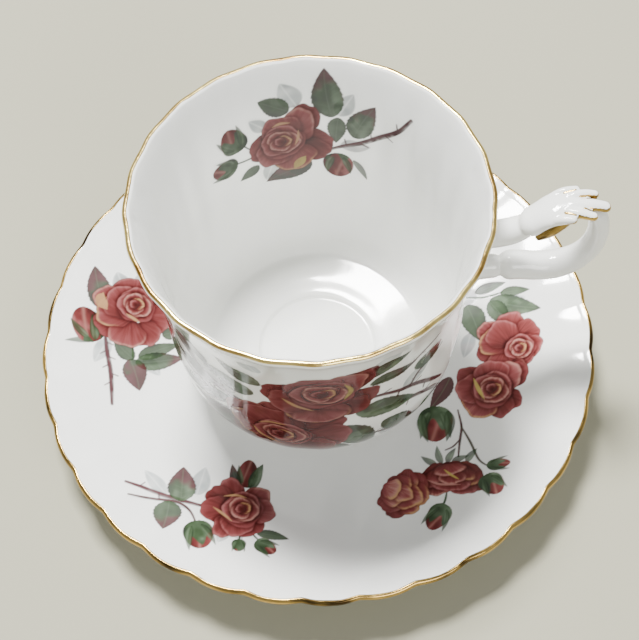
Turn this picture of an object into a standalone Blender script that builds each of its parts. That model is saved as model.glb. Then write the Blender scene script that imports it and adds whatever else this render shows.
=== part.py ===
"""A bone-china teacup standing in its saucer, with gilded edges and rose transfers.

Lengths are metres and +Z is up. The origin is on the axis that the cup and the saucer share, on the
surface that the saucer stands on. The handle points along +X.

The saucer and everything fired onto it stays still. The cup, its foot, handle, gilding and transfers lift
off together, straight up.
"""
import math

import bmesh
import bpy
from mathutils import Matrix, Vector

# ---------------------------------------------------------------- driving dimensions
SAUCER_RADIUS = 0.0695
SAUCER_RIM_HEIGHT = 0.0160
SAUCER_WALL = 0.0026
SAUCER_LIP_RADIUS = 0.0009
SAUCER_LOBES = 32
LOBE_DEPTH = 0.0009
LOBE_RISE = 0.0005
LOBE_START_RADIUS = 0.050
WELL_RADIUS = 0.0226
WELL_HEIGHT = 0.0048
WELL_UNDERSIDE = 0.0021

CUP_RIM_HEIGHT = 0.0790
CUP_RIM_RADIUS = 0.0406
CUP_WALL = 0.0020
CUP_LIP_RADIUS = CUP_WALL / 2
CUP_LIP_HEIGHT = CUP_RIM_HEIGHT - 0.0012
CUP_BASE_HEIGHT = 0.0103
CUP_FLOOR_HEIGHT = 0.0125
CUP_FLOOR_RADIUS = 0.0146
FOOT_RADIUS = 0.0205
FOOT_WIDTH = 0.0026
FOOT_WAIST = 0.0188
FOOT_LINE_HEIGHT = 0.0012

GAP = 0.0003
GILDING = 0.0003
TRANSFER = 0.00018
MERGE = 0.00001
ROUND_STEPS = 64
SAUCER_STEPS = SAUCER_LOBES * 3

# The outside of the bowl, from its base to just under the lip: radius and height.
BOWL_OUTSIDE = [
    (0.0190, CUP_BASE_HEIGHT), (0.0258, 0.0127), (0.0312, 0.0190), (0.0342, 0.0268), (0.0353, 0.0360),
    (0.0356, 0.0480), (0.0364, 0.0590), (0.0383, 0.0700), (CUP_RIM_RADIUS, CUP_LIP_HEIGHT),
]
# The upper face of the saucer, from the edge of its well to the rim.
SAUCER_TOP = [
    (WELL_RADIUS, WELL_HEIGHT), (0.0242, 0.0057), (0.0320, 0.0068), (0.0420, 0.0087), (0.0520, 0.0112),
    (0.0620, 0.0141), (SAUCER_RADIUS, SAUCER_RIM_HEIGHT),
]
SAUCER_FOOT_OUTER = 0.0392
SAUCER_FOOT_INNER = 0.0362
SAUCER_LIP_CENTRE = (SAUCER_RADIUS - SAUCER_LIP_RADIUS, SAUCER_RIM_HEIGHT - SAUCER_LIP_RADIUS)
CUP_LIP_CENTRE = (CUP_RIM_RADIUS - CUP_LIP_RADIUS, CUP_LIP_HEIGHT)

# Each spray on the saucer: first angle, angle that it covers, and the radii that it lies between.
SAUCER_SPRAYS = {
    "saucer_left_spray": (150, 46, 0.034, 0.063), "saucer_front_spray": (212, 43, 0.036, 0.063),
    "saucer_right_spray": (279, 97, 0.034, 0.063), "saucer_back_spray": (32, 43, 0.036, 0.063),
}
# The heights between which the sprays on the bowl lie.
OUTSIDE_SPRAY_HEIGHTS = (0.0185, 0.0700)
INSIDE_SPRAY_HEIGHTS = (0.0440, 0.0745)

# Colour, roughness and metallic value of each material.
FINISHES = {
    "bone_china": ((0.86, 0.87, 0.84, 1), 0.10, 0.0),
    "gilding": ((0.80, 0.58, 0.22, 1), 0.20, 1.0),
    "rose_transfer": ((0.55, 0.16, 0.15, 1), 0.12, 0.0),
}


# ---------------------------------------------------------------- small tools
def clear_scene():
    for obj in list(bpy.data.objects):
        bpy.data.objects.remove(obj)


def collection(name):
    made = bpy.data.collections.new(name)
    bpy.context.scene.collection.children.link(made)
    return made


def finish(name):
    """The material of that name, made the first time it is asked for."""
    if name in bpy.data.materials:
        return bpy.data.materials[name]
    colour, roughness, metallic = FINISHES[name]
    material = bpy.data.materials.new(name)
    material.use_nodes = True
    shader = material.node_tree.nodes["Principled BSDF"]
    shader.inputs["Base Color"].default_value = colour
    shader.inputs["Roughness"].default_value = roughness
    shader.inputs["Metallic"].default_value = metallic
    return material


def place(name, mesh, group, material):
    obj = bpy.data.objects.new(name, mesh)
    group.objects.link(obj)
    mesh.materials.clear()
    mesh.materials.append(finish(material))
    return obj


def smooth_line(points, per_span):
    """Points of a Catmull-Rom curve through the given points, per_span for each stretch between two."""
    ends = [Vector(p) for p in points]
    ends = [2 * ends[0] - ends[1], *ends, 2 * ends[-1] - ends[-2]]
    line = []
    for a, b, c, d in zip(ends, ends[1:], ends[2:], ends[3:]):
        for step in range(per_span):
            t = step / per_span
            line.append(0.5 * (2 * b + (c - a) * t + (2 * a - 5 * b + 4 * c - d) * t * t
                               + (3 * b - a - 3 * c + d) * t ** 3))
    return [tuple(p) for p in line] + [tuple(points[-1])]


def offset_line(line, distance):
    """The line moved sideways by distance, to the left of its direction of travel."""
    moved = []
    for i, (r, z) in enumerate(line):
        before, after = line[max(i - 1, 0)], line[min(i + 1, len(line) - 1)]
        along = Vector((after[0] - before[0], after[1] - before[1])).normalized()
        moved.append((r - along.y * distance, z + along.x * distance))
    return moved


def arc(centre, radius, start, end, steps):
    """Points on an arc in the profile plane, with angles in degrees."""
    angles = [math.radians(start + (end - start) * i / steps) for i in range(steps + 1)]
    return [(centre[0] + radius * math.cos(a), centre[1] + radius * math.sin(a)) for a in angles]


def baked(obj):
    """The object's modifiers made real in a mesh of its own."""
    graph = bpy.context.evaluated_depsgraph_get()
    mesh = bpy.data.meshes.new_from_object(obj.evaluated_get(graph))
    obj.modifiers.clear()
    obj.data = mesh
    return obj


def outline_object(name, profile, closed, group, material):
    """The profile as a bare line of edges in the XZ plane."""
    edges = [(i, i + 1) for i in range(len(profile) - 1)]
    if closed:
        edges.append((len(profile) - 1, 0))
    mesh = bpy.data.meshes.new(name)
    mesh.from_pydata([(r, 0, z) for r, z in profile], edges, [])
    return place(name, mesh, group, material)


def turned(name, profile, group, material, closed=False, steps=ROUND_STEPS, start=0.0, span=360.0):
    """A profile turned about the Z axis, by span degrees from the angle start."""
    obj = outline_object(name, profile, closed, group, material)
    screw = obj.modifiers.new("turn", "SCREW")
    screw.angle = math.radians(span)
    screw.steps = screw.render_steps = steps
    screw.use_merge_vertices = True
    screw.merge_threshold = MERGE
    screw.use_smooth_shade = True
    baked(obj)
    turn = math.radians(start)
    for vertex in obj.data.vertices:
        x, y, z = vertex.co
        vertex.co = (x * math.cos(turn) - y * math.sin(turn), x * math.sin(turn) + y * math.cos(turn), z)
    return obj


def face_outwards(obj):
    form = bmesh.new()
    form.from_mesh(obj.data)
    bmesh.ops.remove_doubles(form, verts=form.verts, dist=MERGE)
    bmesh.ops.recalc_face_normals(form, faces=form.faces)
    form.to_mesh(obj.data)
    form.free()
    return obj


def thin_patch(name, line, start, span, group, steps):
    """A transfer: a thin sheet that follows a profile line round part of a turn."""
    lower, upper = offset_line(line, GAP), offset_line(line, GAP + TRANSFER)
    sheet = turned(name, lower, group, "rose_transfer", steps=steps, start=start, span=span)
    skin = sheet.modifiers.new("thickness", "SOLIDIFY")
    skin.thickness = TRANSFER
    skin.offset = 1.0 if faces_point_to(sheet, lower, upper) else -1.0
    return face_outwards(baked(sheet))


def faces_point_to(sheet, lower, upper):
    """True if the sheet's faces point the way that leads from one profile line to the other."""
    middle = len(lower) // 2
    face = min(sheet.data.polygons, key=lambda f: abs(f.center.z - lower[middle][1]))
    way = Vector((upper[middle][0] - lower[middle][0], upper[middle][1] - lower[middle][1]))
    radial = Vector((face.center.x, face.center.y)).normalized()
    return face.normal.xy.dot(radial) * way.x + face.normal.z * way.y > 0


def tube(name, path, radii, group, material, sides_resolution=3):
    """A round bar along a smooth path in the XZ plane, with its own radius at each point."""
    data = bpy.data.curves.new(name, "CURVE")
    data.dimensions = "3D"
    data.bevel_depth = 1.0
    data.bevel_resolution = sides_resolution
    data.use_fill_caps = True
    spline = data.splines.new("POLY")
    spline.points.add(len(path) - 1)
    for point, place_at, radius in zip(spline.points, path, radii):
        point.co = (*place_at, 1.0)
        point.radius = radius
    curve = bpy.data.objects.new(name + "_path", data)
    group.objects.link(curve)
    graph = bpy.context.evaluated_depsgraph_get()
    mesh = bpy.data.meshes.new_from_object(curve.evaluated_get(graph))
    bpy.data.objects.remove(curve)
    obj = place(name, mesh, group, material)
    return face_outwards(obj)


def prism(name, outline, depth, upright, group):
    """A flat outline given thickness: along Z, or along Y if upright."""
    data = bpy.data.curves.new(name, "CURVE")
    data.dimensions = "2D"
    data.fill_mode = "BOTH"
    data.extrude = depth / 2
    spline = data.splines.new("POLY")
    spline.points.add(len(outline) - 1)
    for point, (across, along) in zip(spline.points, outline):
        point.co = (across, along, 0.0, 1.0)
    spline.use_cyclic_u = True
    curve = bpy.data.objects.new(name + "_outline", data)
    group.objects.link(curve)
    if upright:
        curve.rotation_euler = (math.radians(90), 0, 0)
    bpy.context.view_layer.update()
    graph = bpy.context.evaluated_depsgraph_get()
    mesh = bpy.data.meshes.new_from_object(curve.evaluated_get(graph))
    mesh.transform(curve.matrix_world)
    bpy.data.objects.remove(curve)
    return face_outwards(place(name, mesh, group, "bone_china"))


def combine(obj, other, operation):
    """A Boolean with a helper object, which is then kept only as a cutter."""
    modifier = obj.modifiers.new(operation.lower(), "BOOLEAN")
    modifier.operation = operation
    modifier.object = other
    other.hide_render = True
    other.display_type = "WIRE"
    return baked(obj)


# ---------------------------------------------------------------- saucer
def scallop(obj):
    """Shapes the flutes of the saucer's border: rounded lobes that meet in shallow cusps at the rim."""
    for vertex in obj.data.vertices:
        x, y, z = vertex.co
        radius, angle = math.hypot(x, y), math.atan2(y, x)
        share = (radius - LOBE_START_RADIUS) / (SAUCER_RADIUS - LOBE_START_RADIUS)
        share = max(0.0, min(1.0, share)) ** 2
        cusp = (1 - abs(math.cos(SAUCER_LOBES * angle / 2))) ** 1.5
        shrink = 1 - LOBE_DEPTH * share * cusp / max(radius, MERGE)
        vertex.co = (x * shrink, y * shrink, z + LOBE_RISE * share * cusp)
    return obj


def saucer_profile():
    """From the middle of the well out over the rim, and back along the underside and its foot ring."""
    top = [(0.0, WELL_HEIGHT)] + SAUCER_TOP[:-1]
    rim = arc(SAUCER_LIP_CENTRE, SAUCER_LIP_RADIUS, 60, -60, 3)
    under = offset_line(SAUCER_TOP, -SAUCER_WALL)
    under = line_between(under, SAUCER_FOOT_OUTER + 0.001, SAUCER_RADIUS - 0.004)
    foot = [
        (SAUCER_FOOT_OUTER + 0.0006, 0.0045), (SAUCER_FOOT_OUTER, 0.0), (SAUCER_FOOT_INNER, 0.0),
        (SAUCER_FOOT_INNER - 0.0008, WELL_UNDERSIDE), (0.0, WELL_UNDERSIDE),
    ]
    return top + rim + under[::-1] + foot


def rim_band(name, lip_centre, lip_radius, wrap_start, wrap_end, group, steps):
    """A gilded line: a band wrapped over a rounded lip, from one angle to the other."""
    inner = arc(lip_centre, lip_radius + GAP, wrap_start, wrap_end, 4)
    outer = arc(lip_centre, lip_radius + GAP + GILDING, wrap_end, wrap_start, 4)
    return face_outwards(turned(name, inner + outer, group, "gilding", closed=True, steps=steps))


def line_between(line, inner_radius, outer_radius):
    return [p for p in line if inner_radius <= p[0] <= outer_radius]


def make_saucer(group):
    dish = turned("saucer_dish", saucer_profile(), group, "bone_china", steps=SAUCER_STEPS)
    scallop(face_outwards(dish))
    lip = SAUCER_LIP_CENTRE, SAUCER_LIP_RADIUS
    scallop(rim_band("saucer_rim_gilding", *lip, 125, -60, group, SAUCER_STEPS))
    for name, (start, span, inner_radius, outer_radius) in SAUCER_SPRAYS.items():
        line = line_between(SAUCER_TOP, inner_radius, outer_radius)
        scallop(thin_patch(name, line, start, span, group, steps=span // 4))


# ---------------------------------------------------------------- cup
def bowl_profile():
    """From the middle of the floor up the inside, over the lip, and down the outside to the base."""
    lip = arc(CUP_LIP_CENTRE, CUP_LIP_RADIUS, 165, 15, 4)
    inside = offset_line(BOWL_OUTSIDE, CUP_WALL)
    wall = [p for p in inside if p[0] > CUP_FLOOR_RADIUS + 0.006 and p[1] < CUP_RIM_HEIGHT - 0.003]
    floor = [
        (0.0, CUP_FLOOR_HEIGHT), (CUP_FLOOR_RADIUS, CUP_FLOOR_HEIGHT),
        (CUP_FLOOR_RADIUS + 0.0006, CUP_FLOOR_HEIGHT + 0.0004),
    ]
    return floor + wall + lip + BOWL_OUTSIDE[-2::-1] + [(0.0, CUP_BASE_HEIGHT)]


def make_bowl(group):
    face_outwards(turned("cup_bowl", bowl_profile(), group, "bone_china"))

    top, bottom = CUP_BASE_HEIGHT - GAP, WELL_HEIGHT + GAP
    foot = [
        (FOOT_WAIST + 0.0007, top), (FOOT_WAIST, top - 0.0020), (FOOT_RADIUS, bottom + 0.0010),
        (FOOT_RADIUS, bottom), (FOOT_RADIUS - FOOT_WIDTH, bottom), (FOOT_WAIST - 0.0020, top - 0.0020),
        (FOOT_WAIST - 0.0020, top),
    ]
    face_outwards(turned("cup_foot", foot, group, "bone_china", closed=True, steps=48))

    line_inner, line_outer = FOOT_RADIUS + GAP, FOOT_RADIUS + GAP + GILDING
    foot_line = [
        (line_outer, bottom + FOOT_LINE_HEIGHT), (line_outer, bottom + GAP),
        (line_inner, bottom + GAP), (line_inner, bottom + FOOT_LINE_HEIGHT),
    ]
    face_outwards(turned("cup_foot_gilding", foot_line, group, "gilding", closed=True, steps=48))

    rim_band("cup_rim_gilding", CUP_LIP_CENTRE, CUP_LIP_RADIUS, 170, -5, group, ROUND_STEPS)


def line_within(line, heights):
    return [p for p in line if heights[0] < p[1] < heights[1]]


def make_cup_transfers(group):
    # offset_line moves left of travel, which is inwards going up, so the outside band runs downwards.
    band = line_within(BOWL_OUTSIDE, OUTSIDE_SPRAY_HEIGHTS)[::-1]
    thin_patch("cup_front_spray", band, 184, 142, group, steps=24)
    thin_patch("cup_back_spray", band, 34, 142, group, steps=24)
    inside = line_within(offset_line(BOWL_OUTSIDE, CUP_WALL), INSIDE_SPRAY_HEIGHTS)
    thin_patch("cup_inside_spray", inside, 62, 66, group, steps=12)


# ---------------------------------------------------------------- handle
# The lower loop's centreline, from under the leaf round to the wall of the bowl: x, z and bar radius.
LOOP = [
    (0.0612, 0.0722, 0.0024), (0.0638, 0.0690, 0.0026), (0.0651, 0.0645, 0.0028), (0.0653, 0.0592, 0.0030),
    (0.0643, 0.0540, 0.0031), (0.0618, 0.0500, 0.0033), (0.0584, 0.0477, 0.0036), (0.0542, 0.0467, 0.0038),
    (0.0500, 0.0472, 0.0038), (0.0463, 0.0484, 0.0036), (0.0425, 0.0482, 0.0033), (0.0363, 0.0462, 0.0038),
]
# The upper arm's centreline, from the wall of the bowl to the leaf.
ARM = [
    (0.0370, 0.0602, 0.0036), (0.0425, 0.0616, 0.0034), (0.0465, 0.0633, 0.0032), (0.0502, 0.0660, 0.0028),
    (0.0540, 0.0686, 0.0021),
]
# One side of the leaf seen from above: x and half width. Five rounded fingers with notches between.
LEAF_SIDE = [
    (0.0478, 0.0030), (0.0505, 0.0040), (0.0540, 0.0052), (0.0575, 0.0059), (0.0600, 0.0056),
    (0.0603, 0.0044), (0.0580, 0.0031), (0.0615, 0.0041), (0.0645, 0.0041), (0.0651, 0.0030),
    (0.0622, 0.0015), (0.0655, 0.0014), (0.0672, 0.0008),
]
# The upper face of the leaf seen from the side, and how thick it is.
LEAF_TOP = [
    (0.0470, 0.0664), (0.0510, 0.0694), (0.0550, 0.0718), (0.0590, 0.0726), (0.0630, 0.0722),
    (0.0685, 0.0706),
]
LEAF_THICKNESS = 0.0026
LEAF_REACH_Y = 0.0070
LEAF_GILT_START = 0.0545
LEAF_CLEARANCE_TOP = 0.0900


def along_xz(stations, per_span):
    """Path points and radii of a bar whose stations are x, z and radius."""
    line = smooth_line(stations, per_span)
    return [(x, 0.0, z) for x, z, _ in line], [radius for _, _, radius in line]


def leaf_outline():
    left = smooth_line(LEAF_SIDE, 2)
    return left + [(x, -half) for x, half in reversed(left)]


def leaf_slab(name, top, thickness, group, cutters):
    """A slab under the given upper line, trimmed to the leaf's outline."""
    side = top + list(reversed(offset_line(top, -thickness)))
    slab = prism(name, side, 2 * LEAF_REACH_Y, True, group)
    outline = prism(name + "_outline", leaf_outline(), LEAF_REACH_Y * 8, False, cutters)
    outline.data.transform(Matrix.Translation((0, 0, LEAF_TOP[-1][1])))
    return combine(slab, outline, "INTERSECT")


def make_leaf_gilding(group, cutters):
    """The gilt on the fingers: a skin that lies on their upper face."""
    top = [p for p in smooth_line(LEAF_TOP, 2) if p[0] > LEAF_GILT_START]
    skin = leaf_slab("handle_leaf_gilding", offset_line(top, GAP + GILDING), GILDING, group, cutters)
    skin.data.materials.clear()
    skin.data.materials.append(finish("gilding"))


def wall_cutter(cutters):
    """The bowl's outside, swollen by the gap and filled in: it trims the handle's two roots."""
    outside = offset_line(BOWL_OUTSIDE, -GAP)
    profile = [(0.0, outside[0][1])] + outside + [(0.0, outside[-1][1])]
    return face_outwards(turned("wall_cutter", profile, cutters, "bone_china", steps=ROUND_STEPS))


def make_handle(group, cutters):
    wall = wall_cutter(cutters)
    path, radii = along_xz(ARM, 2)
    arm = tube("handle_thumb_leaf", path, radii, group, "bone_china")
    top = smooth_line(LEAF_TOP, 2)
    combine(arm, leaf_slab("leaf", top, LEAF_THICKNESS, cutters, cutters), "UNION")
    combine(arm, wall, "DIFFERENCE")

    path, radii = along_xz(LOOP, 3)
    loop = tube("handle_loop", path, radii, group, "bone_china")
    combine(loop, wall, "DIFFERENCE")
    underside = offset_line(top, -LEAF_THICKNESS - GAP)
    above = underside + [(underside[-1][0], LEAF_CLEARANCE_TOP), (underside[0][0], LEAF_CLEARANCE_TOP)]
    combine(loop, prism("leaf_clearance", above, 2 * LEAF_REACH_Y, True, cutters), "DIFFERENCE")


def main():
    clear_scene()
    set_group = collection("teacup_and_saucer")
    cutters = collection("cutters")
    make_saucer(set_group)
    make_bowl(set_group)
    make_cup_transfers(set_group)
    make_handle(set_group, cutters)
    make_leaf_gilding(set_group, cutters)


main()
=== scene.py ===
"""A bone-china teacup in its saucer: the looks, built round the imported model.

Lengths are metres. The cup and the saucer share the Z axis, the saucer stands on z = 0, and the handle
points along +X. The transfers are drawn in millimetres on flat sheets and laid on the china afterwards.
"""

import math
from functools import partial

import bmesh
import bpy
import numpy as np
from mathutils import Matrix, Vector


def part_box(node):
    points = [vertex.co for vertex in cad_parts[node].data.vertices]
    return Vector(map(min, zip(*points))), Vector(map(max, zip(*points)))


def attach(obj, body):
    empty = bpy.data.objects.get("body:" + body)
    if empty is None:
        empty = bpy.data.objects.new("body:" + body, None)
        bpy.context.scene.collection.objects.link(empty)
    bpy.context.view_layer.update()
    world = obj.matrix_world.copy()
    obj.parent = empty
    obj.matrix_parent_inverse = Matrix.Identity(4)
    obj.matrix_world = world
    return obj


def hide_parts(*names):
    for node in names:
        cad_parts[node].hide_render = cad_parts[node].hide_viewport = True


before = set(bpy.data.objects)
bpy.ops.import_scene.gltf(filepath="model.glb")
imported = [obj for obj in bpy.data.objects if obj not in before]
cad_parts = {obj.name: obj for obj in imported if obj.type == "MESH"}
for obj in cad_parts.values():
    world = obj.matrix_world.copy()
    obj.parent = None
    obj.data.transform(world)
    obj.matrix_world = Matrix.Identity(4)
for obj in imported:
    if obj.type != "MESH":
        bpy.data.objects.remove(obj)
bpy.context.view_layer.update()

# ---------------------------------------------------------------- sizes, read from the frame
MM = 0.001


def top_of(node):
    return float(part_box(node)[1][2])


def foot_of(node):
    return float(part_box(node)[0][2])


def reach_of(node):
    return float(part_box(node)[1][0])


SAUCER_RADIUS = reach_of("saucer_rim_gilding")
SAUCER_HEIGHT = top_of("saucer_dish")
RIM_RADIUS = reach_of("cup_rim_gilding")
RIM_HEIGHT = top_of("cup_bowl")
BASE_HEIGHT = foot_of("cup_bowl")
FOOT_BOTTOM = foot_of("cup_foot")
FOOT_TOP = top_of("cup_foot")
FOOT_RADIUS = reach_of("cup_foot")
WELL_HEIGHT = FOOT_BOTTOM - 0.3 * MM

SAUCER_LOBES = 32
LOBE_DEPTH = 0.80 * MM
LOBE_RISE = 0.28 * MM
FLUTE_START = 0.70
CUP_FLUTES = 24
FLUTE_DEPTH = 0.28 * MM
SAUCER_THICKNESS = 2.6 * MM
SAUCER_LIP = 0.36 * SAUCER_THICKNESS
SAUCER_LIP_CENTRE = (SAUCER_RADIUS - SAUCER_LIP, SAUCER_HEIGHT - SAUCER_LIP)
WALL = 1.9 * MM
CUP_LIP = WALL / 2
CUP_LIP_CENTRE = (RIM_RADIUS - CUP_LIP, RIM_HEIGHT - CUP_LIP)
LIFT = 0.05 * MM  # how far gilding and prints stand off the china

# Profiles as shares of the rim's radius and of the height from the base to the rim.
BOWL_SHAPE = [
    (0.466, 0.000), (0.560, 0.012), (0.690, 0.062), (0.780, 0.135), (0.842, 0.240), (0.868, 0.370),
    (0.876, 0.540), (0.893, 0.700), (0.925, 0.840), (0.965, 0.940), (1.000, 1.000),
]
SAUCER_SHAPE = [
    (0.330, 0.300), (0.352, 0.352), (0.400, 0.382), (0.460, 0.420), (0.600, 0.540), (0.750, 0.700),
    (0.890, 0.880), (1.000, 1.000),
]


# ---------------------------------------------------------------- curves and surfaces
def smooth_line(points, per_span):
    """Points of a Catmull-Rom curve through the given points."""
    knots = np.array(points, float)
    knots = np.vstack([2 * knots[0] - knots[1], knots, 2 * knots[-1] - knots[-2]])
    t = (np.arange(per_span) / per_span)[:, None]
    spans = []
    for a, b, c, d in zip(knots, knots[1:], knots[2:], knots[3:]):
        spans.append(0.5 * (2 * b + (c - a) * t + (2 * a - 5 * b + 4 * c - d) * t ** 2
                            + (3 * b - a - 3 * c + d) * t ** 3))
    return np.vstack(spans + [knots[-2:-1]])


def travelled(line):
    """The length along a line up to each of its points."""
    return np.concatenate([[0], np.cumsum(np.linalg.norm(np.diff(line, axis=0), axis=1))])


def even_line(line, count):
    """The line read again at evenly spaced points."""
    length = travelled(line)
    at = np.linspace(0, length[-1], count)
    return np.stack([np.interp(at, length, line[:, i]) for i in range(line.shape[1])], axis=1)


def offset_line(line, distance):
    """The line moved sideways, to the left of its direction of travel."""
    along = np.gradient(line, axis=0)
    along /= np.linalg.norm(along, axis=1, keepdims=True)
    return line + distance * np.stack([-along[:, 1], along[:, 0]], axis=1)


def arc(centre, radius, start, end, count):
    angles = np.radians(np.linspace(start, end, count))
    return np.stack([centre[0] + radius * np.cos(angles), centre[1] + radius * np.sin(angles)], axis=1)


def ease(x):
    x = np.clip(x, 0, 1)
    return x * x * (3 - 2 * x)


def lobes(angle, count):
    """0 on the crown of each lobe, rising to 1 in the soft cusp between two."""
    crown = np.sqrt(np.cos(count * angle / 2) ** 2 + 0.02)
    return np.clip(1.01 - crown, 0, 1) ** 1.2


def bowl_line():
    """The bowl's outside, from the foot up to the lip."""
    shape = np.array(BOWL_SHAPE)
    height = BASE_HEIGHT + shape[:, 1] * (RIM_HEIGHT - CUP_LIP - BASE_HEIGHT)
    return smooth_line(np.stack([shape[:, 0] * RIM_RADIUS, height], axis=1), 12)


def saucer_line():
    """The saucer's upper face, from the edge of its well to the rim."""
    shape = np.array(SAUCER_SHAPE)
    return smooth_line(np.stack([shape[:, 0] * SAUCER_RADIUS, shape[:, 1] * SAUCER_HEIGHT], axis=1), 12)


BOWL_OUT = even_line(bowl_line(), 120)
BOWL_IN = offset_line(BOWL_OUT, WALL)
SAUCER_TOP = even_line(saucer_line(), 90)


def flute_cup(points):
    """Presses the cup's soft upright flutes into points that lie on it, strongest at the lip."""
    radius = np.hypot(points[..., 0], points[..., 1])
    angle = np.arctan2(points[..., 1], points[..., 0])
    up = (points[..., 2] - BASE_HEIGHT) / (RIM_HEIGHT - BASE_HEIGHT)
    depth = FLUTE_DEPTH * (0.25 + 0.75 * ease(up)) * ease(up * 8)
    scale = 1 - depth * (0.5 - 0.5 * np.cos(CUP_FLUTES * angle)) / np.maximum(radius, MM)
    return points * np.stack([scale, scale, np.ones_like(scale)], axis=-1)


def flute_saucer(points):
    """Presses the saucer's border into lobes that meet in cusps at the rim."""
    radius = np.hypot(points[..., 0], points[..., 1])
    angle = np.arctan2(points[..., 1], points[..., 0])
    share = ease((radius / SAUCER_RADIUS - FLUTE_START) / (1 - FLUTE_START)) ** 1.5
    cusp = lobes(angle, SAUCER_LOBES)
    scale = 1 - LOBE_DEPTH * share * cusp / np.maximum(radius, MM)
    rise = LOBE_RISE * share * cusp
    return np.stack([points[..., 0] * scale, points[..., 1] * scale, points[..., 2] + rise], axis=-1)


def placed(name, data):
    """A new object of the given name and data, put in the scene."""
    obj = bpy.data.objects.new(name, data)
    bpy.context.scene.collection.objects.link(obj)
    return obj


def mesh_object(name, points, faces):
    mesh = bpy.data.meshes.new(name)
    mesh.from_pydata(points.tolist(), [], faces.tolist())
    mesh.validate()
    mesh.shade_smooth()
    return placed(name, mesh)


def ring_object(name, points):
    """A closed body of quads over a grid of points whose last column joins its first."""
    index = np.arange(points[..., 0].size).reshape(points.shape[:2])
    right = np.roll(index, -1, axis=1)
    faces = np.stack([index[:-1], right[:-1], right[1:], index[1:]], axis=-1).reshape(-1, 4)
    obj = mesh_object(name, points.reshape(-1, 3), faces)
    form = bmesh.new()
    form.from_mesh(obj.data)
    clean(form, 0.002 * MM, 0.0002 * MM)
    form.to_mesh(obj.data)
    form.free()
    obj.data.shade_smooth()
    return obj


def clean(form, merge, thinnest):
    """Joins points that meet, drops empty faces and turns all faces outwards."""
    bmesh.ops.remove_doubles(form, verts=form.verts, dist=merge)
    bmesh.ops.dissolve_degenerate(form, edges=form.edges, dist=thinnest)
    bmesh.ops.recalc_face_normals(form, faces=form.faces)


def angles_of(steps):
    """Evenly spaced angles round the axis."""
    return np.arange(steps) * 2 * math.pi / steps


def body_of_revolution(name, line, steps, press):
    """A closed turned body. Its profile runs from axis to axis, or round and back to its own start."""
    angles = angles_of(steps)
    radius, height = line[:, 0][:, None], line[:, 1][:, None]
    return ring_object(name, press(np.stack([radius * np.cos(angles), radius * np.sin(angles),
                                             height + 0 * angles], axis=-1)))


def dress(piece, material, body, slot, *nodes):
    """Gives a piece its material and the body that it moves with, and hides the nodes that it replaces. The
    slot is not used.
    """
    piece.data.materials.append(material)
    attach(piece, body)
    for node in nodes:
        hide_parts(node)


# ---------------------------------------------------------------- materials
def node_material(name, **sockets):
    """A material with its main shader's sockets set: material, nodes, links and shader."""
    material = bpy.data.materials.new(name)
    material.use_nodes = True
    nodes, links = material.node_tree.nodes, material.node_tree.links
    return material, nodes, links, settle(nodes["Principled BSDF"], **sockets)


def settle(node, **sockets):
    """Sets a node's input sockets, named with _ for a space."""
    for name, value in sockets.items():
        node.inputs[name.replace("_", " ")].default_value = value
    return node


def noise_between(nodes, links, scale, detail, low, high):
    """A noise texture in object space, mapped to the range low to high."""
    where = nodes.new("ShaderNodeTexCoord")
    noise = settle(nodes.new("ShaderNodeTexNoise"), Scale=scale, Detail=detail)
    spread = settle(nodes.new("ShaderNodeMapRange"), From_Min=0.3, From_Max=0.7, To_Min=low, To_Max=high)
    links.new(where.outputs["Object"], noise.inputs["Vector"])
    links.new(noise.outputs["Fac"], spread.inputs["Value"])
    return spread.outputs["Result"]


def mottled(nodes, links, shader, mottle):
    """Multiplies the shader's colour by the mottle. Returns the socket that the plain colour goes into."""
    tint = nodes.new("ShaderNodeMix")
    tint.data_type = "RGBA"
    tint.blend_type = "MULTIPLY"
    settle(tint, Factor=1.0)
    links.new(mottle, tint.inputs["B"])
    links.new(tint.outputs["Result"], shader.inputs["Base Color"])
    return tint.inputs["A"]


CHINA = (0.800, 0.805, 0.775)


def glaze(name, printed):
    """Glazed bone china: a faint warm mottle under a glossy coat, with the print's colours if printed."""
    material, nodes, links, shader = node_material(
        name, IOR=1.52, Specular_IOR_Level=0.12 if printed else 0.5,
        Coat_Weight=0.0 if printed else 0.15, Coat_Roughness=0.03)
    colour = mottled(nodes, links, shader, noise_between(nodes, links, 90.0, 4.0, 0.985, 1.015))
    if printed:
        colours = nodes.new("ShaderNodeVertexColor")
        colours.layer_name = "print"
        links.new(colours.outputs["Color"], colour)
    else:
        colour.default_value = (*CHINA, 1)
    links.new(noise_between(nodes, links, 260.0, 3.0, 0.07, 0.12), shader.inputs["Roughness"])
    ripple = settle(nodes.new("ShaderNodeTexNoise"), Scale=120.0, Detail=2.0)
    where = nodes.new("ShaderNodeTexCoord")
    links.new(where.outputs["Object"], ripple.inputs["Vector"])
    bump = settle(nodes.new("ShaderNodeBump"), Strength=0.05, Distance=0.4 * MM)
    links.new(ripple.outputs["Fac"], bump.inputs["Height"])
    links.new(bump.outputs["Normal"], shader.inputs["Normal"])
    return material


def gold(name, bright, dull, patch):
    """Burnished gilding, bright in patches and brown between them: partly thin or worn gold, partly painted
    shade.
    """
    material, nodes, links, shader = node_material(name, Metallic=1.0)
    wear = noise_between(nodes, links, patch, 4.0, 0.0, 1.0)
    ramp = nodes.new("ShaderNodeValToRGB")
    for stop, position, colour in zip(ramp.color_ramp.elements, (0.10, 0.70), (dull, bright)):
        stop.position = position
        stop.color = (*colour, 1)
    links.new(wear, ramp.inputs["Fac"])
    links.new(ramp.outputs["Color"], shader.inputs["Base Color"])
    links.new(noise_between(nodes, links, 900.0, 3.0, 0.13, 0.27), shader.inputs["Roughness"])
    return material


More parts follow.
